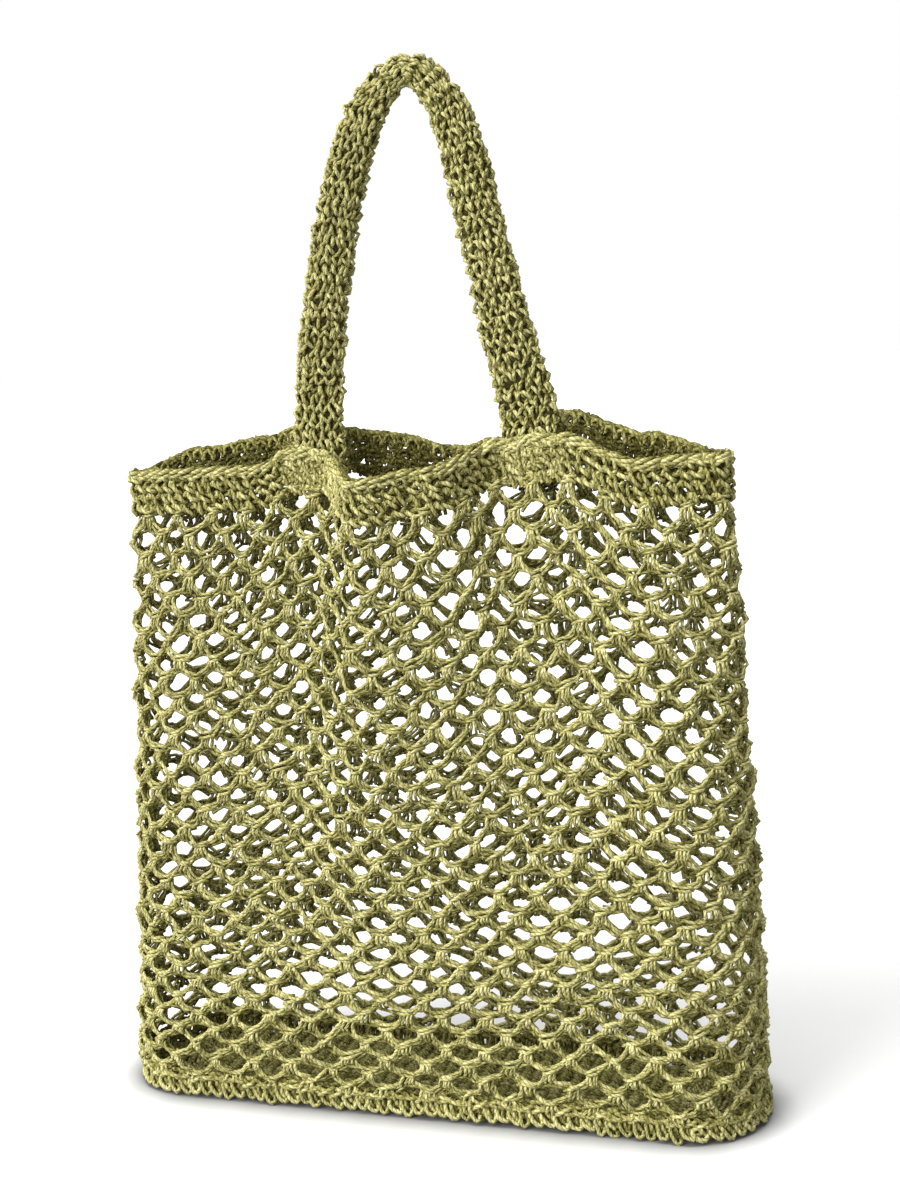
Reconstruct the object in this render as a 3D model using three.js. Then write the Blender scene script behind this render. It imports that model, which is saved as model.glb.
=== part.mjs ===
// Straw tote bag, crocheted from twisted paper straw in five pieces:
// a flat base panel, its turned-up edge, a net body, a rim band and one shoulder strap.
// Millimetres, +Z up, +X to the right and +Y to the back, origin under the middle of the base.
import * as THREE from "three";

// Driving sizes
const WALL = 4; // thickness of the crocheted straw
const GAP = 0.3; // clearance between neighbouring pieces
const SEAM_GAP = 0.6; // clearance under the band, whose foot runs steeply over the folds
const BASE_WIDTH = 408;
const BASE_DEPTH = 98;
const BASE_CORNER = 44; // corner radius of the base in plan
const PANEL_HEIGHT = 5;
const EDGE_TOP = 17; // top of the turned-up edge
const BAND_HEIGHT = 27;
const RIM_WIDTH = 380; // across the two flat corners of the mouth
const RIM_CORNER = 7.5; // radius of the fold at each corner of the mouth
const FOLD_POWER = 1.4; // how soon the folds of the mouth fade towards the base
const STRAP_THICKNESS = 14;
const STRAP_END_THICKNESS = 10; // flattened between the front and the back of the band
const SWELL_RISE = 28; // height over which the strap thickens above the mouth

// Facets
const HALF_AROUND = 48; // along the front, and again along the back
const NET_ROWS = 12;
const BAND_ROWS = 3;
const OUTLINE_STEPS = 720; // fine steps that measure each outline
const STRAP_STEPS = 46;
const STRAP_SIDES = 12;
const STRAP_SQUARENESS = 3.2; // power of the strap's rounded section

// Half depth of the mouth where it grips a strap end
const GRIP = STRAP_END_THICKNESS / 2 + GAP + WALL / 2;

// The mouth from its left corner to its right one: half depths of the wall's middle
// surface, and the heights of its front and back edge
const MOUTH = [
  { x: -190, front: 7.5, back: 7.5, frontTop: 397, backTop: 397 },
  { x: -150, front: 12, back: 11, frontTop: 398, backTop: 409.5 },
  { x: -104, front: 10, back: 9.5, frontTop: 399, backTop: 415 },
  { x: -76, front: GRIP, back: GRIP, frontTop: 409, backTop: 422 },
  { x: -60, front: GRIP, back: GRIP, frontTop: 408, backTop: 422 },
  { x: -26, front: 38, back: 21, frontTop: 391, backTop: 416 },
  { x: 18, front: 30, back: 31, frontTop: 397, backTop: 405 },
  { x: 54, front: GRIP, back: GRIP, frontTop: 411, backTop: 411 },
  { x: 92, front: GRIP, back: GRIP, frontTop: 414, backTop: 427 },
  { x: 140, front: 13, back: 11, frontTop: 398, backTop: 412 },
  { x: 190, front: 7.5, back: 7.5, frontTop: 400, backTop: 400 },
];

// The strap from one sewn end to the other: its middle line, its width, and how far its face turns
const STRAP = [
  { x: -61, z: 386, width: 30, turn: 0 },
  { x: -61, z: 428, width: 30, turn: 0 },
  { x: -55, z: 484, width: 28, turn: 14 },
  { x: -44, z: 540, width: 28, turn: 18 },
  { x: -32, z: 582, width: 27, turn: 16 },
  { x: -17, z: 613, width: 24, turn: 8 },
  { x: 6, z: 628, width: 21, turn: 0 },
  { x: 27, z: 612, width: 24, turn: -6 },
  { x: 38, z: 582, width: 28, turn: -8 },
  { x: 47, z: 540, width: 28, turn: -8 },
  { x: 61, z: 476, width: 28, turn: -6 },
  { x: 72, z: 428, width: 30, turn: 0 },
  { x: 73, z: 386, width: 30, turn: 0 },
];

const straw = (hex) => new THREE.MeshStandardMaterial({ color: hex, roughness: 0.85, metalness: 0 });

// Value of one column of a table at x, eased from row to row
function tableValue(table, column, x) {
  const next = table.findIndex((row) => row.x > x);
  if (next < 1) return next === 0 ? table[0][column] : table.at(-1)[column];
  const [a, b] = [table[next - 1], table[next]];
  return THREE.MathUtils.lerp(a[column], b[column], THREE.MathUtils.smoothstep(x, a.x, b.x));
}

// Depth left at a given distance from the end of an outline with a round corner
function roundedDepth(depth, radius, fromEnd) {
  if (fromEnd >= radius) return depth;
  return depth - radius + Math.sqrt(radius ** 2 - (radius - fromEnd) ** 2);
}

// Points at equal steps along a fine line, its first point included and its last left out
function equalSteps(fine, count) {
  const lengths = [0];
  for (let i = 1; i < fine.length; i++) lengths.push(lengths[i - 1] + fine[i].distanceTo(fine[i - 1]));
  const points = [];
  let k = 0;
  for (let i = 0; i < count; i++) {
    const target = (lengths.at(-1) * i) / count;
    while (lengths[k + 1] <= target) k++;
    const along = (target - lengths[k]) / (lengths[k + 1] - lengths[k]);
    points.push(fine[k].clone().lerp(fine[k + 1], along));
  }
  return points;
}

// One closed outline in plan, left end to right end along the front and home along the back
function planOutline(width, depthAt) {
  const half = width / 2;
  const front = [new THREE.Vector2(-half, 0)];
  const back = [new THREE.Vector2(half, 0)];
  for (let i = 0; i <= OUTLINE_STEPS; i++) {
    const x = -half * Math.cos((Math.PI * i) / OUTLINE_STEPS);
    front.push(new THREE.Vector2(x, -depthAt("front", x)));
    back.push(new THREE.Vector2(-x, depthAt("back", -x)));
  }
  front.push(back[0]);
  back.push(front[0]);
  return [...equalSteps(front, HALF_AROUND), ...equalSteps(back, HALF_AROUND)];
}

const AROUND = 2 * HALF_AROUND;
const foot = planOutline(BASE_WIDTH, (side, x) =>
  roundedDepth(BASE_DEPTH / 2, BASE_CORNER, BASE_WIDTH / 2 - Math.abs(x)),
);
const mouth = planOutline(RIM_WIDTH, (side, x) =>
  Math.max(0, roundedDepth(tableValue(MOUTH, side, x), RIM_CORNER, RIM_WIDTH / 2 - Math.abs(x))),
);
const rimTop = mouth.map((p, i) => tableValue(MOUTH, i <= HALF_AROUND ? "frontTop" : "backTop", p.x));
const bandFoot = (i) => rimTop[i] - BAND_HEIGHT;

// Plan of the wall's middle surface at its own height on every column
function planAt(heightOf) {
  return foot.map((p, i) => {
    const rise = Math.min(1, heightOf(i) / bandFoot(i)) ** FOLD_POWER;
    return p.clone().lerp(mouth[i], rise);
  });
}

// The same plan moved outwards, or inwards for a negative distance
function offsetPlan(plan, distance) {
  return plan.map((p, i) => {
    const along = plan[(i + 1) % AROUND].clone().sub(plan[(i + AROUND - 1) % AROUND]);
    along.normalize();
    return new THREE.Vector2(p.x + along.y * distance, p.y - along.x * distance);
  });
}

function closedGeometry(positions, indices) {
  const geometry = new THREE.BufferGeometry();
  geometry.setAttribute("position", new THREE.Float32BufferAttribute(positions, 3));
  geometry.setIndex(indices);
  geometry.computeVertexNormals();
  return geometry;
}

// Skin of quads over rings of points; the last ring joins the first where it is asked to
function ringSkin(rings, joined) {
  const sides = rings[0].length;
  const indices = [];
  const last = joined ? rings.length : rings.length - 1;
  for (let r = 0; r < last; r++) {
    const here = r * sides;
    const above = ((r + 1) % rings.length) * sides;
    for (let i = 0; i < sides; i++) {
      const j = (i + 1) % sides;
      indices.push(here + i, here + j, above + j, here + i, above + j, above + i);
    }
  }
  return indices;
}

// Hollow wall around the bag between two heights, both given column by column
function wallGeometry(lowest, highest, rows) {
  const outer = [];
  const inner = [];
  for (let r = 0; r <= rows; r++) {
    const heightOf = (i) => THREE.MathUtils.lerp(lowest(i), highest(i), r / rows);
    const plan = planAt(heightOf);
    const ring = (distance) => offsetPlan(plan, distance).map((p, i) => [p.x, p.y, heightOf(i)]);
    outer.push(ring(WALL / 2));
    inner.unshift(ring(-WALL / 2));
  }
  const rings = [...outer, ...inner];
  return closedGeometry(rings.flat(2), ringSkin(rings, true));
}

// Closed skin of rings with a fan over its first and last ring
function cappedGeometry(rings) {
  const sides = rings[0].length;
  const positions = rings.flat(2);
  const indices = ringSkin(rings, false);
  for (const [ring, flip] of [[0, true], [rings.length - 1, false]]) {
    const centre = positions.length / 3;
    for (let axis = 0; axis < 3; axis++) {
      positions.push(rings[ring].reduce((sum, p) => sum + p[axis], 0) / sides);
    }
    for (let i = 0; i < sides; i++) {
      const a = ring * sides + i;
      const b = ring * sides + ((i + 1) % sides);
      indices.push(...(flip ? [b, a, centre] : [a, b, centre]));
    }
  }
  return closedGeometry(positions, indices);
}

// Flat panel whose lower edge rounds up from the floor
function panelGeometry() {
  const edge = [
    { z: 0, outwards: -2.5 },
    { z: 1.8, outwards: 0.6 },
    { z: PANEL_HEIGHT, outwards: WALL / 2 },
  ];
  return cappedGeometry(edge.map(({ z, outwards }) => offsetPlan(foot, outwards).map((p) => [p.x, p.y, z])));
}

// Thick band bent over its arch, its ends flattened where the rim band holds them
function strapGeometry() {
  const line = new THREE.CatmullRomCurve3(STRAP.map(({ x, z }) => new THREE.Vector3(x, 0, z)));
  const sewnTop = STRAP[1].z;
  const rings = [];
  for (let s = 0; s <= STRAP_STEPS; s++) {
    const t = line.getUtoTmapping(s / STRAP_STEPS);
    const centre = line.getPoint(t);
    const across = new THREE.Vector3(0, 1, 0).cross(line.getTangent(t));
    const row = t * (STRAP.length - 1);
    const low = Math.min(Math.floor(row), STRAP.length - 2);
    const between = (column) => THREE.MathUtils.lerp(STRAP[low][column], STRAP[low + 1][column], row - low);
    const swell = THREE.MathUtils.smoothstep(centre.z, sewnTop, sewnTop + SWELL_RISE);
    const thickness = THREE.MathUtils.lerp(STRAP_END_THICKNESS, STRAP_THICKNESS, swell);
    const face = THREE.MathUtils.degToRad(between("turn"));
    const ring = [];
    for (let k = 0; k < STRAP_SIDES; k++) {
      const angle = (2 * Math.PI * (k + 0.5)) / STRAP_SIDES;
      const bulge = (v) => Math.sign(v) * Math.abs(v) ** (2 / STRAP_SQUARENESS);
      const a = (between("width") / 2) * bulge(Math.cos(angle));
      const b = (thickness / 2) * bulge(Math.sin(angle));
      const wide = a * Math.cos(face) - b * Math.sin(face);
      const deep = a * Math.sin(face) + b * Math.cos(face);
      ring.push([centre.x + across.x * wide, deep, centre.z + across.z * wide]);
    }
    rings.push(ring);
  }
  return cappedGeometry(rings);
}

const bag = new THREE.Group();
function addPiece(name, geometry, hex) {
  const piece = new THREE.Mesh(geometry, straw(hex));
  piece.name = name;
  bag.add(piece);
}

addPiece("base_panel", panelGeometry(), 0x8a8051);
addPiece("base_edge", wallGeometry(() => PANEL_HEIGHT + GAP, () => EDGE_TOP, 1), 0x8a8051);
addPiece("net_body", wallGeometry(() => EDGE_TOP + GAP, (i) => bandFoot(i) - SEAM_GAP, NET_ROWS), 0x989367);
addPiece("rim_band", wallGeometry(bandFoot, (i) => rimTop[i], BAND_ROWS), 0x8a8456);
addPiece("shoulder_strap", strapGeometry(), 0x8f895b);

export default bag;
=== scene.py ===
"""A straw tote bag crocheted in the round: base, net body, rim band and one shoulder strap."""
import math

import bpy
import numpy as np
from mathutils import Matrix, Vector


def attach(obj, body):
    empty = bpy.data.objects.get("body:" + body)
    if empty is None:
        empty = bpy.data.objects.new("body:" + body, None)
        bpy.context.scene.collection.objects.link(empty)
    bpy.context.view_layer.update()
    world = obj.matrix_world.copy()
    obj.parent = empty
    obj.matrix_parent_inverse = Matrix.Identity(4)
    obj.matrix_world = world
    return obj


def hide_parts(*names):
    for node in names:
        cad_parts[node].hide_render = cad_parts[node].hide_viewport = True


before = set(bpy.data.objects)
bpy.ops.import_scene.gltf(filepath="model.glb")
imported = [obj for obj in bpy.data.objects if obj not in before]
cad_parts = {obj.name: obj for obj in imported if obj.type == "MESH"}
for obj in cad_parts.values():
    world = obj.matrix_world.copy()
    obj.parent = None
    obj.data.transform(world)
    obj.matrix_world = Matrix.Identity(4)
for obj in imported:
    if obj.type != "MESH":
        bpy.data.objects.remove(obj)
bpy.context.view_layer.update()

# The base panel is the flat dense bottom, crocheted from paper-straw twine in oval rounds about a
# foundation chain that runs along its middle. Its last round lies at the foot of the wall, which
# grows out of it. All sizes of the bag are in millimetres.
MM = 0.001
TWINE = 2.0
TWINE_SIDES = 5
BASE_WIDTH = 408
BASE_DEPTH = 98
BASE_CORNER = 44
PANEL_MIDDLE = 2.7
PANEL_ROUNDS = 8
PANEL_STITCHES = 112
PANEL_SPARE = 1.04
ROUND_STITCH_WIDTH = 7.6
ROUND_STITCH_HEIGHT = 6.2
HALF_STEPS = 240
OUTLINE_FINENESS = 3


def add_node(tree, kind, links=None, **settings):
    """Adds a node; links gives each input, by name or number, a socket or a plain value."""
    node = tree.nodes.new(kind)
    for setting, value in settings.items():
        setattr(node, setting, value)
    for key, value in (links or {}).items():
        if isinstance(value, bpy.types.NodeSocket):
            tree.links.new(value, node.inputs[key])
        else:
            node.inputs[key].default_value = value
    return node


def linear(hex_code):
    """The linear RGBA of an sRGB colour such as a39c66."""
    srgb = np.array([int(hex_code[i:i + 2], 16) for i in (0, 2, 4)]) / 255
    return (*np.where(srgb <= 0.04045, srgb / 12.92, ((srgb + 0.055) / 1.055) ** 2.4), 1.0)


# Paper straw is a matt strip of paper, rolled and twisted two-ply. It gives the eye a spiral
# groove, lengthwise fibres and a tone that differs from one strand to the next; painted shade
# darkens the groove and the stitches' depths, and painted light pales the strands that stand out.
# Real fibres are too fine to show in a picture of the whole bag, so they are drawn coarser.
PLY_PITCH = 6.5
GROOVE_DEPTH = 0.4
GROOVE_PAINTED_SHADE_WIDTH = 0.3
GROOVE_PAINTED_SHADE_STRENGTH = 0.85
GROOVE_PAINTED_SHADE_COLOUR = "2f2905"
FIBRE_WIDTH = 0.8
FIBRE_LENGTH = 2.8
FIBRE_DEPTH = 0.08
FIBRE_DETAIL = 3.0
FIBRE_DARK = 0.32
FIBRE_PALE = 0.68
STAIN_SIZE = 18.0
STAIN_DETAIL = 2.0
SHARE_OF_PAINTED_RELIEF_SHADE = 0.40
SHARE_OF_TONE = 0.18
SHARE_OF_FIBRES = 0.34
SHARE_OF_STAINS = 0.08
# Colours from dark to pale, placed along the mix of painted relief shade, tone, fibres and stains.
STRAW_COLOURS = ((0.33, "3c3708"), (0.55, "8c8749"), (0.81, "cec88c"))
STRAW_ROUGHNESS = 0.72
STRAW_IOR = 1.5
STRAW_SPECULAR = 0.2

straw = bpy.data.materials.new("twisted_paper_straw")
straw.use_nodes = True
nodes = straw.node_tree
nodes.nodes.clear()
turn = add_node(nodes, "ShaderNodeAttribute", attribute_name="ply_turn")
length = add_node(nodes, "ShaderNodeAttribute", attribute_name="twine_length")
tone = add_node(nodes, "ShaderNodeAttribute", attribute_name="twine_tone")
painted_relief = add_node(nodes, "ShaderNodeAttribute", attribute_name="twine_height")
place = add_node(nodes, "ShaderNodeTexCoord")
angle = add_node(nodes, "ShaderNodeMath", {0: length.outputs["Fac"], 1: 2 * math.pi / (PLY_PITCH * MM)},
                 operation="MULTIPLY")
cosine = add_node(nodes, "ShaderNodeMath", {0: angle.outputs[0]}, operation="COSINE")
sine = add_node(nodes, "ShaderNodeMath", {0: angle.outputs[0]}, operation="SINE")
spiral = add_node(nodes, "ShaderNodeCombineXYZ", {"X": cosine.outputs[0], "Y": sine.outputs[0]})
across = add_node(nodes, "ShaderNodeVectorMath", {0: turn.outputs["Vector"], 1: spiral.outputs[0]},
                  operation="DOT_PRODUCT")
ply = add_node(nodes, "ShaderNodeMath", {0: across.outputs["Value"]}, operation="ABSOLUTE")
round_turn = add_node(nodes, "ShaderNodeVectorMath", {0: turn.outputs["Vector"], 3: TWINE / 2 / FIBRE_WIDTH},
                      operation="SCALE")
along = add_node(nodes, "ShaderNodeMath", {0: length.outputs["Fac"], 1: 1 / (FIBRE_LENGTH * MM)},
                 operation="MULTIPLY")
lengthwise = add_node(nodes, "ShaderNodeCombineXYZ", {"X": tone.outputs["Fac"], "Z": along.outputs[0]})
fibre_place = add_node(nodes, "ShaderNodeVectorMath", {0: round_turn.outputs[0], 1: lengthwise.outputs[0]},
                       operation="ADD")
fibres = add_node(nodes, "ShaderNodeTexNoise",
                  {"Vector": fibre_place.outputs[0], "Scale": 1.0, "Detail": FIBRE_DETAIL})
streaks = add_node(nodes, "ShaderNodeMapRange",
                   {"Value": fibres.outputs["Fac"], "From Min": FIBRE_DARK, "From Max": FIBRE_PALE})
stains = add_node(nodes, "ShaderNodeTexNoise",
                  {"Vector": place.outputs["Object"], "Scale": 1 / (STAIN_SIZE * MM),
                   "Detail": STAIN_DETAIL})
# The mix adds painted relief shade to the strand's own tone, fibres and stains.
painted_shade_and_tone = 0.0
for source, share in (
    (painted_relief.outputs["Fac"], SHARE_OF_PAINTED_RELIEF_SHADE), (tone.outputs["Fac"], SHARE_OF_TONE),
    (streaks.outputs[0], SHARE_OF_FIBRES), (stains.outputs["Fac"], SHARE_OF_STAINS),
):
    mixed_in = add_node(nodes, "ShaderNodeMath", {0: source, 1: share, 2: painted_shade_and_tone}, operation="MULTIPLY_ADD")
    painted_shade_and_tone = mixed_in.outputs[0]
colours = add_node(nodes, "ShaderNodeValToRGB", {"Fac": painted_shade_and_tone})
colours.color_ramp.elements.new(STRAW_COLOURS[1][0])
for stop, (position, hex_code) in zip(colours.color_ramp.elements, STRAW_COLOURS):
    stop.position = position
    stop.color = linear(hex_code)
# Painted shade: the colour darkens towards the groove colour in the ply's spiral groove.
painted_groove_shade = add_node(nodes, "ShaderNodeMapRange",
                  {"Value": ply.outputs[0], "From Max": GROOVE_PAINTED_SHADE_WIDTH, "To Min": GROOVE_PAINTED_SHADE_STRENGTH,
                   "To Max": 0.0})
with_painted_groove_shade = add_node(nodes, "ShaderNodeMix",
                    {0: painted_groove_shade.outputs[0], 6: colours.outputs["Color"], 7: linear(GROOVE_PAINTED_SHADE_COLOUR)},
                    data_type="RGBA")
height = add_node(nodes, "ShaderNodeMath",
                  {0: fibres.outputs["Fac"], 1: FIBRE_DEPTH / GROOVE_DEPTH, 2: ply.outputs[0]},
                  operation="MULTIPLY_ADD")
relief = add_node(nodes, "ShaderNodeBump", {"Height": height.outputs[0], "Distance": GROOVE_DEPTH * MM})
surface = add_node(nodes, "ShaderNodeBsdfPrincipled",
                   {"Base Color": with_painted_groove_shade.outputs[2], "Roughness": STRAW_ROUGHNESS, "IOR": STRAW_IOR,
                    "Specular IOR Level": STRAW_SPECULAR, "Normal": relief.outputs[0]})
add_node(nodes, "ShaderNodeOutputMaterial", {"Surface": surface.outputs[0]})

# The crochet tree lays one charted stitch after another over a form, row by row, and rounds
# each charted line into twine. A form's UV map counts its stitches, with one spare row at each end.
# Strands deep in the fabric get painted shade and strands that stand out get painted light; inner
# strands can get painted light too. Where a form's outward lines are shortened, the stitches lie
# pressed flat and all get the palest painted light.
PRESSED_PAINTED_LIGHT = 1.0
PAINTED_SHADE_DARKEST_AT = -1.0
PAINTED_LIGHT_PALEST_AT = 2.2
INNER_PAINTED_LIGHT_AT = -1.5
WANDER_DETAIL = 2.0
WANDER_ROUGHNESS = 0.6
THINNEST_TWINE = 0.88
THICKEST_TWINE = 1.12

crochet = bpy.data.node_groups.new("crochet", "GeometryNodeTree")
for name, kind in (
    ("Form", "Geometry"), ("Stitch", "Object"), ("Columns", "Int"), ("Rows", "Int"), ("First row", "Int"),
    ("Rows made", "Int"), ("Shift of odd rows", "Float"), ("Twine radius", "Float"), ("Twine sides", "Int"),
    ("Wander", "Float"), ("Wander size", "Float"), ("Slack", "Float"), ("Turn", "Float"),
    ("Inner paleness", "Float"), ("Seed", "Int"), ("Straw", "Material"),
):
    crochet.interface.new_socket(name, in_out="INPUT", socket_type="NodeSocket" + kind)
crochet.interface.new_socket("Twine", in_out="OUTPUT", socket_type="NodeSocketGeometry")
given = add_node(crochet, "NodeGroupInput").outputs

count = add_node(crochet, "FunctionNodeIntegerMath", {0: given["Columns"], 1: given["Rows made"]},
                 operation="MULTIPLY")
index = add_node(crochet, "GeometryNodeInputIndex")
column = add_node(crochet, "FunctionNodeIntegerMath", {0: index.outputs[0], 1: given["Columns"]},
                  operation="MODULO")
rows_before = add_node(crochet, "FunctionNodeIntegerMath", {0: index.outputs[0], 1: given["Columns"]},
                       operation="DIVIDE_FLOOR")
row = add_node(crochet, "FunctionNodeIntegerMath", {0: rows_before.outputs[0], 1: given["First row"]},
               operation="ADD")
odd = add_node(crochet, "FunctionNodeIntegerMath", {0: row.outputs[0], 1: 2}, operation="MODULO")
shift = add_node(crochet, "ShaderNodeMath",
                 {0: odd.outputs[0], 1: given["Shift of odd rows"], 2: column.outputs[0]},
                 operation="MULTIPLY_ADD")
stitch_place = add_node(crochet, "ShaderNodeCombineXYZ", {"X": shift.outputs[0], "Y": row.outputs[0]})
points = add_node(crochet, "GeometryNodePoints",
                  {"Count": count.outputs[0], "Position": stitch_place.outputs[0]})
stitch = add_node(crochet, "GeometryNodeObjectInfo", {"Object": given["Stitch"], "As Instance": True})
stitches = add_node(crochet, "GeometryNodeInstanceOnPoints",
                    {"Points": points.outputs[0], "Instance": stitch.outputs["Geometry"]})
charted_lines = add_node(crochet, "GeometryNodeRealizeInstances", {"Geometry": stitches.outputs[0]})

charted_place = add_node(crochet, "GeometryNodeInputPosition")
charted = add_node(crochet, "ShaderNodeSeparateXYZ", {0: charted_place.outputs[0]})
turns = add_node(crochet, "ShaderNodeMath", {0: charted.outputs["X"], 1: given["Columns"]},
                 operation="DIVIDE")
around = add_node(crochet, "ShaderNodeMath", {0: turns.outputs[0]}, operation="FRACT")
with_spare = add_node(crochet, "ShaderNodeMath", {0: charted.outputs["Y"], 1: 1.0}, operation="ADD")
all_rows = add_node(crochet, "ShaderNodeMath", {0: given["Rows"], 1: 2.0}, operation="ADD")
row_part = add_node(crochet, "ShaderNodeMath", {0: with_spare.outputs[0], 1: all_rows.outputs[0]},
                    operation="DIVIDE")
upward = add_node(crochet, "ShaderNodeClamp", {0: row_part.outputs[0]})
on_form = add_node(crochet, "ShaderNodeCombineXYZ", {"X": around.outputs[0], "Y": upward.outputs[0]})
form_map = add_node(crochet, "GeometryNodeInputNamedAttribute", {"Name": "stitch_count"},
                    data_type="FLOAT_VECTOR")
form_place = add_node(crochet, "GeometryNodeInputPosition")
form_out = add_node(crochet, "GeometryNodeInputNamedAttribute", {"Name": "outwards"},
                    data_type="FLOAT_VECTOR")
laid = add_node(crochet, "GeometryNodeSampleUVSurface",
                {"Mesh": given["Form"], "Value": form_place.outputs[0], "UV Map": form_map.outputs[0],
                 "Sample UV": on_form.outputs[0]}, data_type="FLOAT_VECTOR")
outwards = add_node(crochet, "GeometryNodeSampleUVSurface",
                    {"Mesh": given["Form"], "Value": form_out.outputs[0], "UV Map": form_map.outputs[0],
                     "Sample UV": on_form.outputs[0]}, data_type="FLOAT_VECTOR")
raised = add_node(crochet, "ShaderNodeVectorMath",
                  {0: outwards.outputs[0], 1: charted.outputs["Z"], 2: laid.outputs[0]},
                  operation="MULTIPLY_ADD")
# Painted light by how far each strand stands out of the form, and on the inner side as asked.
painted_light_outside = add_node(crochet, "ShaderNodeMapRange",
                       {"Value": charted.outputs["Z"], "From Min": PAINTED_SHADE_DARKEST_AT * MM,
                        "From Max": PAINTED_LIGHT_PALEST_AT * MM})
painted_light_inside = add_node(crochet, "ShaderNodeMapRange",
                       {"Value": charted.outputs["Z"], "From Max": INNER_PAINTED_LIGHT_AT * MM,
                        "To Max": given["Inner paleness"]})
painted_light_by_height = add_node(crochet, "ShaderNodeMath", {0: painted_light_outside.outputs[0], 1: painted_light_inside.outputs[0]},
                         operation="MAXIMUM")
relieved = add_node(crochet, "ShaderNodeVectorMath", {0: outwards.outputs[0]}, operation="LENGTH")
painted_light_share = add_node(crochet, "ShaderNodeMapRange",
                        {"Value": relieved.outputs["Value"], "To Min": PRESSED_PAINTED_LIGHT,
                         "To Max": painted_light_by_height.outputs[0]})
painted_shade_lines = add_node(crochet, "GeometryNodeStoreNamedAttribute",
                        {"Geometry": charted_lines.outputs[0], "Name": "twine_height",
                         "Value": painted_light_share.outputs[0]}, data_type="FLOAT")
per_size = add_node(crochet, "ShaderNodeMath", {0: 1.0, 1: given["Wander size"]}, operation="DIVIDE")
drift = add_node(crochet, "ShaderNodeTexNoise",
                 {"Vector": raised.outputs[0], "Scale": per_size.outputs[0], "Detail": WANDER_DETAIL,
                  "Roughness": WANDER_ROUGHNESS})
stray = add_node(crochet, "ShaderNodeVectorMath", {0: drift.outputs["Color"], 1: (0.5, 0.5, 0.5)},
                 operation="SUBTRACT")
strayed = add_node(crochet, "ShaderNodeVectorMath",
                   {0: stray.outputs[0], 1: given["Wander"], 2: raised.outputs[0]}, operation="MULTIPLY_ADD")
strand = add_node(crochet, "GeometryNodeCurveOfPoint")
loose = add_node(crochet, "FunctionNodeRandomValue",
                 {0: (-1, -1, -1), 1: (1, 1, 1), "ID": strand.outputs["Curve Index"], "Seed": given["Seed"]},
                 data_type="FLOAT_VECTOR")
loosened = add_node(crochet, "ShaderNodeVectorMath",
                    {0: loose.outputs[0], 1: given["Slack"], 2: strayed.outputs[0]}, operation="MULTIPLY_ADD")
middle = add_node(crochet, "GeometryNodeFieldOnDomain", {0: loosened.outputs[0]}, data_type="FLOAT_VECTOR",
                  domain="CURVE")
most = add_node(crochet, "ShaderNodeMath", {0: given["Turn"], 1: -1.0}, operation="MULTIPLY")
lean = add_node(crochet, "FunctionNodeRandomValue",
                {2: most.outputs[0], 3: given["Turn"], "ID": strand.outputs["Curve Index"],
                 "Seed": given["Seed"]}, data_type="FLOAT")
turned = add_node(crochet, "ShaderNodeVectorRotate",
                  {"Vector": loosened.outputs[0], "Center": middle.outputs[0], "Axis": outwards.outputs[0],
                   "Angle": lean.outputs[1]})
laid_lines = add_node(crochet, "GeometryNodeSetPosition",
                      {"Geometry": painted_shade_lines.outputs[0], "Position": turned.outputs[0]})
tones = add_node(crochet, "FunctionNodeRandomValue",
                 {"ID": strand.outputs["Curve Index"], "Seed": given["Seed"]}, data_type="FLOAT")
toned_lines = add_node(crochet, "GeometryNodeStoreNamedAttribute",
                       {"Geometry": laid_lines.outputs[0], "Name": "twine_tone", "Value": tones.outputs[1]},
                       data_type="FLOAT")
walked_along = add_node(crochet, "GeometryNodeSplineParameter")
measured_lines = add_node(crochet, "GeometryNodeStoreNamedAttribute",
                          {"Geometry": toned_lines.outputs[0], "Name": "twine_length",
                           "Value": walked_along.outputs["Length"]}, data_type="FLOAT")
circle = add_node(crochet, "GeometryNodeCurvePrimitiveCircle",
                  {"Resolution": given["Twine sides"], "Radius": 1.0})
circle_place = add_node(crochet, "GeometryNodeInputPosition")
section = add_node(crochet, "GeometryNodeStoreNamedAttribute",
                   {"Geometry": circle.outputs[0], "Name": "ply_turn", "Value": circle_place.outputs[0]},
                   data_type="FLOAT_VECTOR")
uneven = add_node(crochet, "ShaderNodeMapRange",
                  {"Value": tones.outputs[1], "To Min": THINNEST_TWINE, "To Max": THICKEST_TWINE})
thick = add_node(crochet, "ShaderNodeMath", {0: uneven.outputs[0], 1: given["Twine radius"]},
                 operation="MULTIPLY")
rounded = add_node(crochet, "GeometryNodeCurveToMesh",
                   {"Curve": measured_lines.outputs[0], "Profile Curve": section.outputs[0],
                    "Scale": thick.outputs[0], "Fill Caps": True})
smooth = add_node(crochet, "GeometryNodeSetShadeSmooth", {"Geometry": rounded.outputs[0]})
realized = add_node(crochet, "GeometryNodeRealizeInstances", {"Geometry": smooth.outputs[0]})
finished = add_node(crochet, "GeometryNodeSetMaterial",
                    {"Geometry": realized.outputs[0], "Material": given["Straw"]})
add_node(crochet, "NodeGroupOutput", {"Twine": finished.outputs[0]})


def stitch_chart(name, width, height, strands):
    """One stitch as lines of twine, charted in mm as (right, up, outwards) from the stitch's middle."""
    chart = bpy.data.curves.new(name, "CURVE")
    chart.dimensions = "3D"
    for strand in strands:
        line = chart.splines.new("POLY")
        line.points.add(len(strand) - 1)
        for point, (right, up, outwards) in zip(line.points, strand):
            point.co = (right / width, up / height, outwards * MM, 1)
    return bpy.data.objects.new(name, chart)


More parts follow.
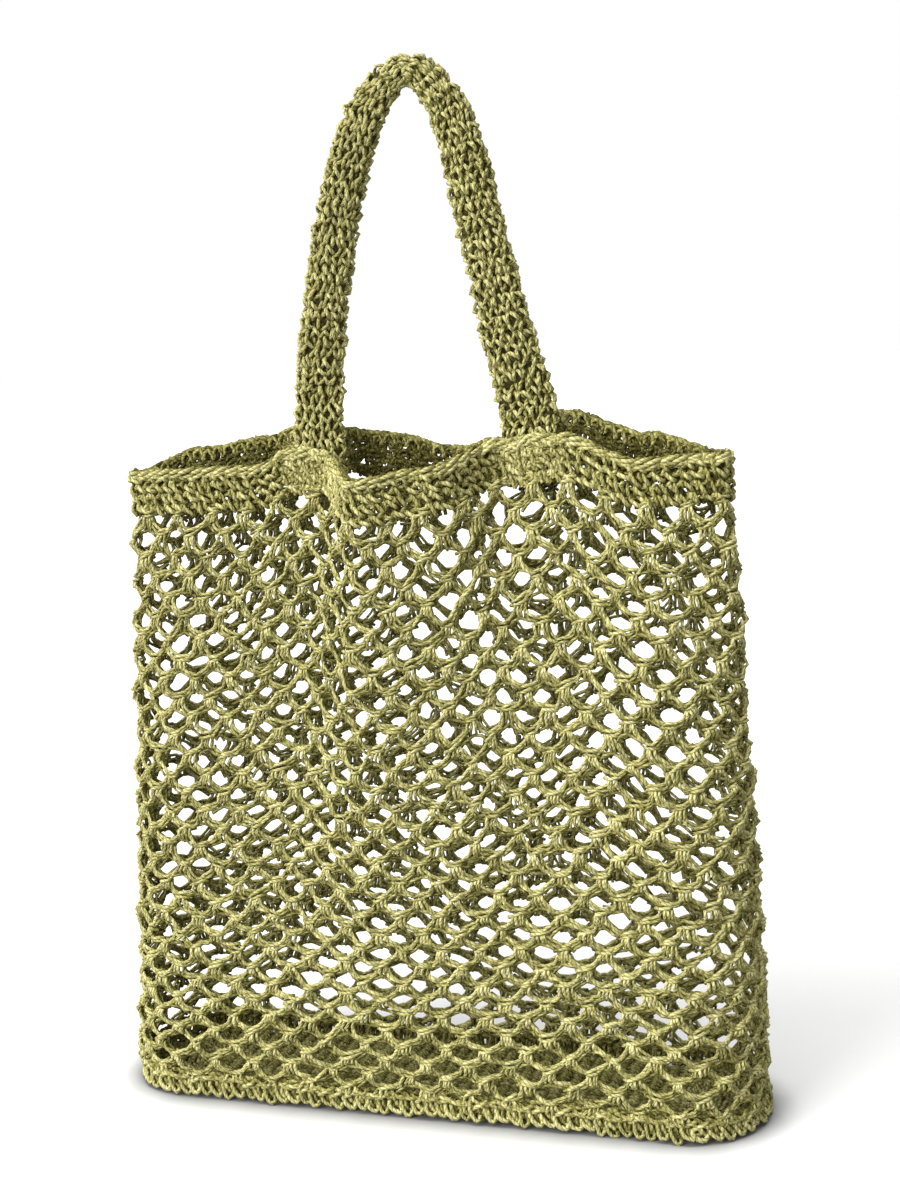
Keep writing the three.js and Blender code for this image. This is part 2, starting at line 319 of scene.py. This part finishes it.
def crochet_piece(name, grid, outwards, chart, columns, rows, *, twine, wander, wander_size, slack, seed,
                  stands_for, first_row=0, rows_made=None, odd_shift=0.0, sides=TWINE_SIDES, turn=0.0,
                  inner_painted_light=0.0):
    """Covers a form, a grid of places in mm with its spare rows, with stitches: one piece of the bag.

    Wander shifts neighbouring stitches together and slack each strand by itself, in mm; turn leans each
    strand, in degrees. Where twine lies loose and frayed, it is drawn thicker than its bare 2 mm.
    """
    upward, sideways = grid.shape[:2]
    mesh = bpy.data.meshes.new(name + "_form")
    corner = np.arange((upward - 1) * sideways).reshape(-1, sideways)[:, :-1]
    faces = np.stack([corner, corner + 1, corner + sideways + 1, corner + sideways], axis=-1).reshape(-1, 4)
    mesh.from_pydata((grid.reshape(-1, 3) * MM).tolist(), [], faces.tolist())
    across, up = np.meshgrid(np.linspace(0, 1, sideways), np.linspace(0, 1, upward))
    counted = np.stack([across, up, np.zeros_like(up)], axis=-1).reshape(-1, 3)
    for attribute, values in (("stitch_count", counted), ("outwards", outwards.reshape(-1, 3))):
        mesh.attributes.new(attribute, "FLOAT_VECTOR", "POINT").data.foreach_set("vector", values.ravel())
    piece = bpy.data.objects.new(name, mesh)
    bpy.context.scene.collection.objects.link(piece)
    work = piece.modifiers.new("crochet", "NODES")
    work.node_group = crochet
    sizes = {"Stitch": chart, "Columns": columns, "Rows": rows, "First row": first_row,
             "Rows made": rows if rows_made is None else rows_made, "Shift of odd rows": odd_shift,
             "Twine radius": twine / 2 * MM, "Twine sides": sides, "Wander": wander * MM,
             "Wander size": wander_size * MM, "Slack": slack * MM, "Turn": math.radians(turn),
             "Inner paleness": inner_painted_light, "Seed": seed, "Straw": straw}
    for socket in crochet.interface.items_tree:
        if socket.name in sizes:
            work[socket.identifier] = sizes[socket.name]
    made = bpy.data.meshes.new_from_object(piece.evaluated_get(bpy.context.evaluated_depsgraph_get()))
    piece.modifiers.clear()
    piece.data = made
    made.name = name
    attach(piece, "root")
    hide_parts(*stands_for)


def rounded_depth(depth, radius, from_end):
    """Half depth of an outline near an end with a round corner."""
    inside = np.clip(radius - from_end, 0, radius)
    return depth - radius + np.sqrt(radius ** 2 - inside ** 2)


def walk_along(line):
    """The length walked along a line of points, from its start to each of them."""
    return np.append(0, np.cumsum(np.linalg.norm(np.diff(line, axis=0), axis=1)))


def plan_outline(width, depth_at):
    """A closed outline in plan at equal steps: from the left end along the front, and home along the back."""
    half = width / 2
    x = -half * np.cos(np.linspace(0, math.pi, OUTLINE_FINENESS * HALF_STEPS))
    halves = []
    for side, facing in (("front", 1), ("back", -1)):
        between_ends = np.stack([facing * x, -facing * depth_at(side, facing * x)], axis=-1)
        line = np.vstack([[-facing * half, 0], between_ends, [facing * half, 0]])
        walked = walk_along(line)
        steps = np.linspace(0, walked[-1], HALF_STEPS + 1)
        halves.append(np.stack([np.interp(steps, walked, line[:, axis]) for axis in (0, 1)], axis=-1))
    return np.vstack([halves[0], halves[1][1:]])


def outward_of(grid):
    """Unit normals of a form that closes on itself sideways, pointing out of the bag."""
    ring = grid[:, :-1]
    sideways = np.roll(ring, -1, axis=1) - np.roll(ring, 1, axis=1)
    normal = np.cross(sideways, np.gradient(ring, axis=0))
    normal /= np.linalg.norm(normal, axis=-1, keepdims=True)
    return np.concatenate([normal, normal[:, :1]], axis=1)


foot = plan_outline(BASE_WIDTH, lambda side, x: rounded_depth(
    BASE_DEPTH / 2, BASE_CORNER, BASE_WIDTH / 2 - abs(x)))
half_chain = (BASE_WIDTH - BASE_DEPTH) / 2
foundation = np.stack([np.clip(foot[:, 0], -half_chain, half_chain), np.zeros(len(foot))], axis=-1)
from_middle = np.clip(np.arange(-1, PANEL_ROUNDS + 2) / PANEL_ROUNDS, 0, PANEL_SPARE)[:, None, None]
panel = np.concatenate([foundation + (foot - foundation) * from_middle,
                        np.full((PANEL_ROUNDS + 3, len(foot), 1), PANEL_MIDDLE)], axis=-1)
downwards = np.broadcast_to([0.0, 0.0, -1.0], panel.shape)
round_stitch = stitch_chart("round_stitch", ROUND_STITCH_WIDTH, ROUND_STITCH_HEIGHT, [
    [(-2.7, 5.4, 0.2), (-1.5, 2.8, 1.1), (0.1, 0.0, 0.2)],
    [(2.9, 5.2, 0.2), (1.9, 2.6, 1.1), (0.7, 0.0, 0.2)],
    [(-4.0, 2.4, -0.4), (-0.6, 3.9, -1.9), (3.4, 3.0, -0.6)],
    [(-3.4, 0.2, -0.2), (0.6, 1.4, -1.7), (4.0, 0.6, -0.4)],
    [(-0.6, 5.4, -0.2), (0.4, 3.0, -0.9), (0.0, 0.4, -0.2)],
])
crochet_piece("base_panel_rounds", panel, downwards, round_stitch, PANEL_STITCHES, PANEL_ROUNDS, twine=2.4,
              wander=2.0, wander_size=7.0, slack=0.4, inner_painted_light=0.85, seed=1, stands_for=["base_panel"])

# The base edge is the dense round of the same twine that turns up at the foot of the wall: tall
# leaning stitches with hooked feet on the floor, worked on from the base's last round, and a
# crossing chain along their tops where the net begins.
EDGE_TOP = 17
EDGE_FOOT = 2.0
EDGE_STITCHES = 124
EDGE_STITCH_WIDTH = 8.4
edge_heights = EDGE_FOOT + (EDGE_TOP - EDGE_FOOT) * np.arange(-1, 3)
edge = np.stack([np.concatenate([foot, np.full((len(foot), 1), z)], axis=-1) for z in edge_heights])
edge_stitch = stitch_chart("edge_stitch", EDGE_STITCH_WIDTH, EDGE_TOP - EDGE_FOOT, [
    [(-4.8, 9.0, 0.4), (-4.2, 6.2, 1.9), (-2.4, 3.0, 2.5), (-0.4, 0.9, 2.5), (1.8, 0.2, 2.3), (3.4, 1.6, 1.9),
     (3.2, 4.0, 1.2)],
    [(-1.8, 8.6, 0.2), (-0.4, 5.6, 1.3), (1.2, 3.2, 0.4)],
    [(-6.0, 8.4, 0.4), (-2.2, 9.6, 1.9), (2.6, 11.2, 1.7), (6.0, 12.4, 0.2)],
    [(-5.6, 12.6, -0.2), (-1.8, 11.8, 1.3), (2.8, 10.2, 1.9), (6.4, 8.8, 0.6)],
    [(-4.6, 13.8, -0.6), (0.0, 14.2, 0.5), (4.6, 13.4, -0.6)],
    [(-2.2, 13.0, -0.6), (-2.6, 7.0, -1.2), (-1.0, 1.6, -0.8)],
    [(0.4, 12.0, -0.6), (0.2, 7.0, -1.4), (0.4, 1.4, -0.8)],
    [(2.6, 13.0, -0.6), (2.6, 7.0, -1.2), (2.2, 1.6, -0.8)],
    [(-4.6, 14.4, -0.6), (0.0, 13.4, -1.9), (4.6, 14.4, -0.6)],
    [(-4.8, 4.4, -0.8), (0.0, 5.0, -1.6), (4.8, 4.4, -0.8)],
])
crochet_piece("base_edge_stitches", edge, outward_of(edge), edge_stitch, EDGE_STITCHES, 1, twine=2.8,
              wander=6.0, wander_size=11.0, slack=0.9, turn=15, inner_painted_light=0.6, seed=2, stands_for=["base_edge"])

# The net body is an open mesh of twine arches, worked upwards from a row of short knots hooked into
# the base edge; its lowest rounds have settled flatter. At each knot two level bars hold a fan of
# upright strands, and doubled legs part from the fan to the next round down, over an arch.
NET_CELLS = 36
NET_ROWS = 31
CELL = 24.5
NET_ROW = 11.5
# The net's first column starts this many steps round from the left corner, and its lowest row has
# this share of the mean row's height.
NET_START = 3
LOWEST_ROW = 0.83
# The wall goes from the base's outline to the mouth's with this power of the height, so that its
# folds show late. GRIP is half the mouth's depth where it holds an end of the strap.
FOLD_POWER = 1.4
GRIP = 7.3
RIM_WIDTH = 380
RIM_CORNER = 7.5
BAND_HEIGHT = 27
# The mouth from its left corner to its right one: place across, half depth at the front and
# the back, and height of the front and the back edge.
MOUTH = np.array([
    (-190, 7.5, 7.5, 397, 397),
    (-150, 12, 11, 398, 409.5),
    (-104, 10, 9.5, 399, 415),
    (-76, GRIP, GRIP, 409, 422),
    (-60, GRIP, GRIP, 408, 422),
    (-26, 38, 21, 391, 416),
    (18, 30, 31, 397, 405),
    (54, GRIP, GRIP, 411, 411),
    (92, GRIP, GRIP, 414, 427),
    (140, 13, 11, 398, 412),
    (190, 7.5, 7.5, 400, 400),
])
DEPTH_COLUMN = {"front": 1, "back": 2}
TOP_COLUMN = {"front": 3, "back": 4}


def eased(share):
    """A share from 0 to 1, with a slow start and a slow end."""
    return share * share * (3 - 2 * share)


def mouth_value(column, x):
    """A column of the mouth's table at x, eased from row to row."""
    row = np.clip(np.searchsorted(MOUTH[:, 0], x, side="right") - 1, 0, len(MOUTH) - 2)
    before, after = MOUTH[row], MOUTH[row + 1]
    share = eased(np.clip((x - before[:, 0]) / (after[:, 0] - before[:, 0]), 0, 1))
    return before[:, column] + (after[:, column] - before[:, column]) * share


def wall(heights):
    """Middle surface of the bag's wall at rows of heights, one height for each place around."""
    rise = np.clip(heights / band_foot, 0, 1)[..., None] ** FOLD_POWER
    return np.concatenate([foot + (mouth - foot) * rise, heights[..., None]], axis=-1)


mouth = plan_outline(RIM_WIDTH, lambda side, x: np.maximum(
    0, rounded_depth(mouth_value(DEPTH_COLUMN[side], x), RIM_CORNER, RIM_WIDTH / 2 - abs(x))))
rim_top = np.append(mouth_value(TOP_COLUMN["front"], mouth[:HALF_STEPS + 1, 0]),
                    mouth_value(TOP_COLUMN["back"], mouth[HALF_STEPS + 1:, 0]))
band_foot = rim_top - BAND_HEIGHT
even_rows = np.arange(-1, NET_ROWS + 2)[:, None] / NET_ROWS
settled_rows = even_rows * (LOWEST_ROW + (1 - LOWEST_ROW) * even_rows)
net_wall = wall(EDGE_TOP + (band_foot - EDGE_TOP) * settled_rows)
net = np.concatenate([net_wall[:, NET_START:], net_wall[:, 1:NET_START + 1]], axis=1)
net_out = outward_of(net)
knot = stitch_chart("net_knot", CELL, NET_ROW, [
    [(-5.4, -1.2, 0.0), (-2.4, -0.6, 2.8), (1.8, 0.4, 3.1), (5.4, 0.6, 0.4)],
    [(-5.0, 1.0, 0.0), (-1.8, 1.8, 2.3), (2.4, 2.4, 2.4), (5.6, 2.6, 0.2)],
    [(-2.7, -0.6, 1.6), (-3.2, -4.2, 3.2), (-3.8, -8.2, -0.6)],
    [(-0.9, -0.5, 1.8), (-1.0, -4.2, 3.5), (-1.2, -8.4, -0.6)],
    [(0.8, -0.4, 1.8), (1.1, -4.1, 3.5), (1.3, -8.4, -0.6)],
    [(2.5, -0.2, 1.6), (3.2, -4.0, 3.2), (3.7, -8.0, -0.6)],
    [(-2.8, -3.4, 1.2), (-5.4, -6.4, 2.2), (-9.0, -8.6, 1.6), (-12.6, -9.8, -0.4)],
    [(-2.6, -5.2, 0.8), (-5.2, -8.2, 1.8), (-8.6, -10.3, 1.2), (-11.8, -11.5, -0.6)],
    [(2.8, -3.0, 1.2), (5.4, -6.0, 2.5), (9.0, -8.3, 1.9), (12.6, -9.5, -0.2)],
    [(2.6, -4.8, 0.8), (5.2, -7.8, 2.1), (8.6, -10.0, 1.6), (11.8, -11.2, -0.4)],
    [(-8.4, -12.2, -0.4), (-4.6, -9.4, 1.0), (0.0, -7.4, 0.4), (4.6, -9.2, 1.3), (8.4, -12.0, -0.2)],
    [(-5.6, 0.4, -0.8), (0.0, -0.8, -1.9), (5.6, 1.2, -0.8)],
    [(-2.2, 0.0, -0.8), (-2.8, -3.6, -1.7), (-3.2, -7.4, -0.4)],
    [(1.8, 0.4, -0.8), (1.8, -3.4, -1.8), (2.2, -7.4, -0.4)],
    [(-2.6, -5.8, -0.6), (-6.4, -8.6, -1.2), (-10.8, -11.0, -0.6)],
    [(2.6, -5.8, -0.6), (6.4, -8.6, -1.2), (10.8, -11.0, -0.6)],
])
foot_knot = stitch_chart("net_foot_knot", CELL, NET_ROW, [
    [(-5.0, -1.0, 0.2), (-2.0, -0.4, 2.5), (1.8, 0.4, 2.7), (4.8, 0.8, 0.6)],
    [(-4.4, 1.0, 0.2), (-1.2, 1.7, 2.2), (2.2, 2.3, 2.3), (4.8, 2.6, 0.4)],
    [(-3.4, -0.8, 0.8), (-4.4, -3.4, 2.6), (-6.0, -6.2, 1.2)],
    [(-1.4, -0.6, 1.2), (-1.6, -3.6, 2.8), (-2.2, -7.0, 1.2)],
    [(0.6, -0.2, 1.2), (0.8, -3.4, 2.8), (1.2, -7.0, 1.2)],
    [(2.6, 0.0, 0.8), (3.4, -3.0, 2.6), (5.0, -6.0, 1.2)],
])
crochet_piece("net_foot", net, net_out, foot_knot, NET_CELLS, NET_ROWS, rows_made=1, odd_shift=0.5, twine=2.3,
              sides=4, wander=11.0, wander_size=16.0, slack=0.8, turn=18, seed=9, stands_for=["net_body"])
for name, first, made, net_twine, seed in (
    ("net_low", 1, 11, 2.3, 3), ("net_middle", 12, 10, 2.15, 4), ("net_high", 22, 10, 2.1, 5),
):
    crochet_piece(name, net, net_out, knot, NET_CELLS, NET_ROWS, first_row=first, rows_made=made,
                  odd_shift=0.5, twine=net_twine, sides=4, wander=12.0, wander_size=16.0, slack=0.45, turn=11,
                  inner_painted_light=0.9, seed=seed, stands_for=["net_body"])

# The rim band is the dense border of the mouth, four tight rounds of slanting single crochet with
# a rope-like chain of the same twine along the top. It is worked straight on from the net's last
# arches, and lies pressed flat where the strap's ends are sewn in.
BAND_ROUNDS = 4
BAND_STITCHES = 118
BAND_STITCH_WIDTH = 7.1
EDGE_LINKS = 106
EDGE_LINK_WIDTH = 8.0
SEWN_AT = (-66, 73)
SEWN_HALF = 24
SEWN_POWER = 4
PRESSED = 0.65
band_row = BAND_HEIGHT / BAND_ROUNDS
band = wall(band_foot + band_row * np.arange(-1, BAND_ROUNDS + 2)[:, None])
# The pressed stitches here also get the palest painted light.
sewn = sum(np.clip(1 - ((band[..., :1] - x) / SEWN_HALF) ** SEWN_POWER, 0, 1) for x in SEWN_AT)
band_out = outward_of(band) * (1 - PRESSED * sewn)
band_stitch = stitch_chart("band_stitch", BAND_STITCH_WIDTH, band_row, [
    [(-3.6, 6.4, -0.2), (-1.6, 4.0, 2.3), (0.4, 1.8, 2.1), (2.0, 0.0, 0.0)],
    [(2.4, 7.0, -0.2), (3.0, 4.6, 1.6), (4.4, 2.2, 0.0)],
    [(3.4, 6.0, -0.3), (1.6, 4.6, 1.4), (-0.4, 4.2, -0.2)],
    [(-3.8, 2.4, -0.9), (0.0, 3.6, -1.7), (3.8, 2.4, -0.9)],
    [(-3.8, 5.8, -0.9), (0.0, 6.6, -1.7), (3.8, 5.8, -0.9)],
    [(-2.6, 6.4, -0.7), (-1.6, 3.0, -1.1), (-0.8, -0.4, -0.7)],
    [(1.2, 6.4, -0.7), (1.9, 3.0, -1.1), (2.8, -0.4, -0.7)],
])
crochet_piece("rim_band_stitches", band, band_out, band_stitch, BAND_STITCHES, BAND_ROUNDS, odd_shift=0.35,
              twine=2.7, wander=6.0, wander_size=10.0, slack=0.8, turn=24, inner_painted_light=0.2, seed=6,
              stands_for=["rim_band"])
edge_link = stitch_chart("edge_link", EDGE_LINK_WIDTH, band_row, [
    [(-6.4, -3.6, 0.2), (-2.4, -1.4, 2.5), (2.4, 0.2, 2.4), (6.6, 0.8, 0.0)],
    [(-6.2, -5.6, 0.0), (-2.0, -3.8, 2.2), (2.6, -2.4, 2.2), (6.4, -1.6, 0.2)],
    [(-6.0, -1.6, -0.6), (-2.0, 0.4, -1.8), (3.0, 0.6, -1.7), (7.0, -0.8, -0.4)],
    [(-3.4, -0.4, 0.6), (0.5, 1.2, 0.3), (4.4, 0.0, -0.6)],
    [(-3.4, -6.0, -1.6), (-3.2, -2.4, -2.5), (-0.6, 0.0, -2.5), (2.4, -1.6, -2.4), (3.2, -5.4, -1.6)],
])
crochet_piece("rim_band_chain", band, band_out, edge_link, EDGE_LINKS, BAND_ROUNDS, first_row=BAND_ROUNDS,
              rows_made=1, twine=2.7, wander=3.6, wander_size=9.0, slack=0.6, turn=9, inner_painted_light=0.5, seed=7,
              stands_for=["rim_band"])

# The shoulder strap is one thick band of small V stitches in the same twine, worked round a dense
# core that takes the straw's darkest painted shade, and bent into an arch. Both ends are pressed
# flat and sewn between the rim band's front and back.
STRAP_THICKNESS = 14
STRAP_END_THICKNESS = 10
SWELL_RISE = 28
STRAP_SQUARENESS = 2.8
STRAP_STITCHES = 11
STRAP_STITCH_WIDTH = 5.85
STRAP_ROW = 5.6
STRAP_BULGE = 0.8
# The form lies this deep under the finished strap's faces, and the core stands this far out of it.
STRAP_SKIN = 3.2
CORE_FILL = 0.4
STRAP_AROUND = 96
STRAP_STEPS = 4
CORE_STRIDE = 3
BEND_FINENESS = 40
RING_FINENESS = 20
# The finished strap from one sewn end to the other: its middle line across and up, its width, and
# the turn of its face in degrees.
STRAP = np.array([
    (-61, 386, 33, 0),
    (-61, 428, 33, 0),
    (-55, 484, 29, 14),
    (-44, 540, 28, 18),
    (-32, 582, 27, 16),
    (-17, 613, 24, 8),
    (6, 630, 19, 0),
    (27, 612, 24, -6),
    (38, 582, 28, -8),
    (47, 540, 29, -8),
    (61, 476, 32, -6),
    (72, 428, 36, 0),
    (73, 386, 36, 0),
])


def smooth_line(table):
    """A table's rows joined by a smooth curve through all of them."""
    ends = np.vstack([2 * table[0] - table[1], table, 2 * table[-1] - table[-2]])
    t = np.linspace(0, 1, BEND_FINENESS, endpoint=False)[:, None]
    bends = []
    for before, start, end, after in zip(ends, ends[1:], ends[2:], ends[3:]):
        bend = (2 * start + (end - before) * t + (2 * before - 5 * start + 4 * end - after) * t ** 2
                + (3 * start - before - 3 * end + after) * t ** 3)
        bends.append(bend / 2)
    return np.vstack([*bends, table[-1:]])


fine_line = smooth_line(STRAP)
fine_walk = walk_along(fine_line[:, :2])
strap_rows = round(fine_walk[-1] / STRAP_ROW)
even_steps = np.linspace(0, 1, STRAP_STEPS * strap_rows + 1) * fine_walk[-1]
sewn_line = np.stack([np.interp(even_steps, fine_walk, column) for column in fine_line.T], axis=-1)
spare_steps = np.arange(1, STRAP_STEPS + 1)[:, None]
line = np.vstack([sewn_line[0] - (sewn_line[1] - sewn_line[0]) * spare_steps[::-1], sewn_line,
                  sewn_line[-1] + (sewn_line[-1] - sewn_line[-2]) * spare_steps])
heading = np.gradient(line[:, :2], axis=0)
heading /= np.linalg.norm(heading, axis=1, keepdims=True)
swell = eased(np.clip((line[:, 1] - STRAP[1, 1]) / SWELL_RISE, 0, 1))
thickness = STRAP_END_THICKNESS + (STRAP_THICKNESS - STRAP_END_THICKNESS) * swell
ring_turn = np.linspace(0, 2 * math.pi, RING_FINENESS * STRAP_AROUND + 1)
round_ring = np.stack([np.cos(ring_turn), np.sin(ring_turn)], axis=-1)
square_ring = np.sign(round_ring) * np.abs(round_ring) ** (2 / STRAP_SQUARENESS)
ring_walk = walk_along(square_ring * (STRAP[0, 2], STRAP_THICKNESS))
ring_steps = np.linspace(0, ring_walk[-1], STRAP_AROUND + 1)
ring_wide, ring_deep = (np.interp(ring_steps, ring_walk, side) for side in square_ring.T)
row_bulge = STRAP_BULGE * -np.cos(math.pi * np.arange(len(line)) / STRAP_STEPS) - STRAP_SKIN
wide = (line[:, 2] / 2 + row_bulge)[:, None] * ring_wide
deep = (thickness / 2 + row_bulge)[:, None] * ring_deep
face = np.radians(line[:, 3])[:, None]
sideways = wide * np.cos(face) - deep * np.sin(face)
strap = np.stack([line[:, :1] + heading[:, 1:] * sideways, wide * np.sin(face) + deep * np.cos(face),
                  line[:, 1:2] - heading[:, :1] * sideways], axis=-1)
strap_stitch = stitch_chart("strap_stitch", STRAP_STITCH_WIDTH, STRAP_ROW, [
    [(-3.1, 7.2, -1.0), (-2.6, 5.2, 2.1), (-1.5, 2.4, 2.3), (-0.2, 0.2, -0.5)],
    [(3.0, 6.8, -1.0), (2.7, 4.8, 1.8), (1.8, 2.0, 2.1), (0.7, 0.0, -0.5)],
    [(-3.4, 1.9, -1.2), (0.2, 3.0, -0.4), (3.4, 1.6, -1.2)],
    [(0.2, 5.8, -1.0), (0.7, 3.2, 0.6), (-0.5, 0.7, -1.0)],
])
crochet_piece("shoulder_strap_stitches", strap, outward_of(strap), strap_stitch, STRAP_STITCHES, strap_rows,
              odd_shift=0.35, twine=2.3, wander=5.4, wander_size=9.5, slack=0.9, turn=26, seed=8,
              stands_for=["shoulder_strap"])

core_form = strap + CORE_FILL * outward_of(strap)
core_rings = core_form[STRAP_STEPS:-STRAP_STEPS:STRAP_STEPS, :-1:CORE_STRIDE]
core_sides = core_rings.shape[1]
ring_starts = np.arange(len(core_rings) - 1)[:, None] * core_sides
ring_here = np.arange(core_sides)
ring_next = (ring_here + 1) % core_sides
core_faces = np.stack([ring_starts + ring_here, ring_starts + ring_next, ring_starts + core_sides + ring_next,
                       ring_starts + core_sides + ring_here], axis=-1).reshape(-1, 4).tolist()
core_faces += [ring_here[::-1].tolist(), (ring_here + (len(core_rings) - 1) * core_sides).tolist()]
core_mesh = bpy.data.meshes.new("shoulder_strap_core")
core_mesh.from_pydata((core_rings.reshape(-1, 3) * MM).tolist(), [], core_faces)
# The core has none of the straw's attributes, so it takes the darkest painted relief shade and the full
# painted groove shade.
core_mesh.materials.append(straw)
core = bpy.data.objects.new("shoulder_strap_core", core_mesh)
bpy.context.scene.collection.objects.link(core)
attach(core, "root")
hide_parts("shoulder_strap")

# The stage is a floor of pale paper, with a painted shadow close under the bag, and a white
# surround. A broad soft key from the front left, a soft light overhead and a weak fill light it, and
# the camera stands where the photo was taken from. The floor's size and the camera's place are in metres.
FLOOR_HALF = 40
PAPER_COLOUR = "e2e2e2"
PAPER_IN_PAINTED_SHADOW = "636363"
PAPER_ROUGHNESS = 0.9
CONTACT_REACH = 26
LEAST_OPEN = 0.4
MOST_OPEN = 0.95
floor_mesh = bpy.data.meshes.new("pale_floor")
floor_corners = [(x * FLOOR_HALF, y * FLOOR_HALF, 0) for x, y in ((-1, -1), (1, -1), (1, 1), (-1, 1))]
floor_mesh.from_pydata(floor_corners, [], [(0, 1, 2, 3)])
floor = bpy.data.objects.new("pale_floor", floor_mesh)
bpy.context.scene.collection.objects.link(floor)
paper = bpy.data.materials.new("matt_background_paper")
paper.use_nodes = True
# Painted shadow: the paper darkens towards its shadow colour where it is closed in, close under the bag.
openness = add_node(paper.node_tree, "ShaderNodeAmbientOcclusion", {"Distance": CONTACT_REACH * MM})
unshadowed_share = add_node(paper.node_tree, "ShaderNodeMapRange",
                     {"Value": openness.outputs["AO"], "From Min": LEAST_OPEN, "From Max": MOST_OPEN})
painted_contact_shadow = add_node(paper.node_tree, "ShaderNodeMix",
                         {0: unshadowed_share.outputs[0], 6: linear(PAPER_IN_PAINTED_SHADOW), 7: linear(PAPER_COLOUR)},
                         data_type="RGBA")
sheet = paper.node_tree.nodes["Principled BSDF"]
paper.node_tree.links.new(painted_contact_shadow.outputs[2], sheet.inputs["Base Color"])
sheet.inputs["Roughness"].default_value = PAPER_ROUGHNESS
floor_mesh.materials.append(paper)
floor.visible_diffuse = False

SURROUND_COLOUR = "ffffff"
SURROUND_FILL = 0.36
surround = bpy.data.worlds.new("pale_surround")
surround.use_nodes = True
sky = surround.node_tree
seen = add_node(sky, "ShaderNodeLightPath")
glow = add_node(sky, "ShaderNodeMapRange",
                {"Value": seen.outputs["Is Camera Ray"], "To Min": SURROUND_FILL, "To Max": 1.0})
sky.links.new(glow.outputs[0], sky.nodes["Background"].inputs["Strength"])
sky.nodes["Background"].inputs["Color"].default_value = linear(SURROUND_COLOUR)
bpy.context.scene.world = surround
bpy.context.scene.view_settings.view_transform = "Standard"

for name, lamp_from, spread_deg, strength in (
    ("broad_key", Vector((-0.58, -0.62, 0.48)), 50, 4.7),
    ("overhead_light", Vector((-0.1, 0.2, 1.0)), 70, 2.2),
    ("front_fill", Vector((0.25, -1.0, 0.4)), 70, 0.9),
):
    lamp = bpy.data.lights.new(name, "SUN")
    lamp.angle = math.radians(spread_deg)
    lamp.energy = strength
    light = bpy.data.objects.new(name, lamp)
    light.location = lamp_from
    light.rotation_euler = lamp_from.to_track_quat("Z", "Y").to_euler()
    bpy.context.scene.collection.objects.link(light)

SENSOR_WIDTH = 36
FOCAL_LENGTH = 51
EYE = Vector((0.330, -0.982, 0.468))
HEADING = math.radians(17.62)
PITCH = math.radians(8.46)
ROLL = math.radians(-2.54)
forward = Vector((-math.sin(HEADING) * math.cos(PITCH), math.cos(HEADING) * math.cos(PITCH),
                  -math.sin(PITCH)))
level = Vector((math.cos(HEADING), math.sin(HEADING), 0))
right = math.cos(ROLL) * level + math.sin(ROLL) * level.cross(forward)
lens = bpy.data.cameras.new("photo_camera")
lens.sensor_width = SENSOR_WIDTH
lens.lens = FOCAL_LENGTH
camera = bpy.data.objects.new("photo_camera", lens)
axes = Matrix((right, right.cross(forward), -forward)).transposed()
camera.matrix_world = Matrix.Translation(EYE) @ axes.to_4x4()
bpy.context.scene.collection.objects.link(camera)
bpy.context.scene.camera = camera
